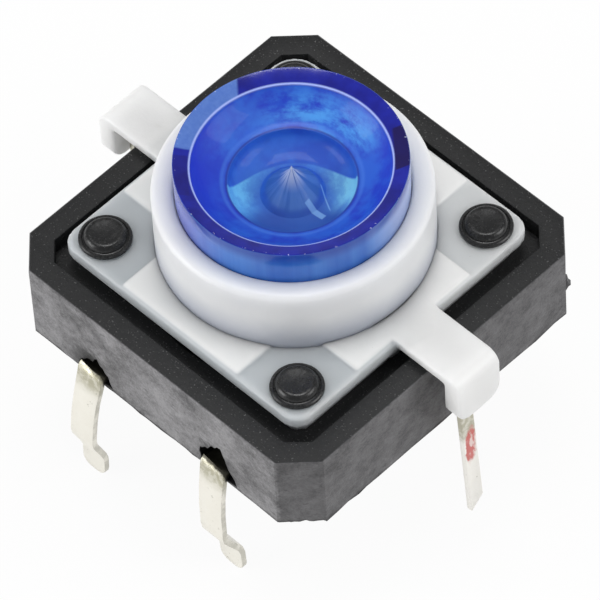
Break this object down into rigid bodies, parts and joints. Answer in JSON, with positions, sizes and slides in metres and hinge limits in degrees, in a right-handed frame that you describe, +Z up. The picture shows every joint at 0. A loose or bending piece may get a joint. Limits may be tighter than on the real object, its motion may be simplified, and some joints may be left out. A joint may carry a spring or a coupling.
{
  "type": "illuminated tactile push button switch",
  "caption": "Square through-hole push switch with a round clear-blue lens in a white collar, a lamp under the lens, side arms for the lamp leads and formed board terminals.",
  "frame": {"origin": "middle of the housing's underside, the face that meets the circuit board", "axes": "+Z up out of the board, along the button's travel; X through the two lamp arms; Y through the faces that the switch terminals leave by"},
  "size_m": [0.0148, 0.0134, 0.0113],
  "materials": {
    "black_nylon": "glass-filled moulding, dull and slightly mottled",
    "white_plate": "milky moulding, soft sheen",
    "white_collar": "milky moulding, soft sheen",
    "blue_lens": "clear blue moulding, polished",
    "clear_epoxy": "water-clear casting",
    "tinned_strip": "tin plated brass strip",
    "tinned_lead": "tin plated steel lead",
    "dome_steel": "bright spring steel",
    "chip": "semiconductor die",
    "gold_wire": "fine gold wire"
  },
  "bodies": {
    "switch_body": {"housing": "black_nylon", "contact_common": "tinned_strip", "contact_centre": "tinned_strip", "snap_dome": "dome_steel", "cover_plate": "white_plate", "lamp_body": "clear_epoxy", "lamp_chip": "chip", "bond_wire": "gold_wire", "lead_cathode": "tinned_lead", "lead_anode": "tinned_lead"},
    "button": {"collar": "white_collar", "lens": "blue_lens", "presser": "black_nylon"}
  },
  "joints": [
    {"name": "button_press", "type": "slide", "parent": "switch_body", "child": "button", "axis": [0, 0, -1], "range_m": [0, 0.0003], "stiffness_N_per_m": 5000, "deforming": ["snap_dome"]}
  ]
}
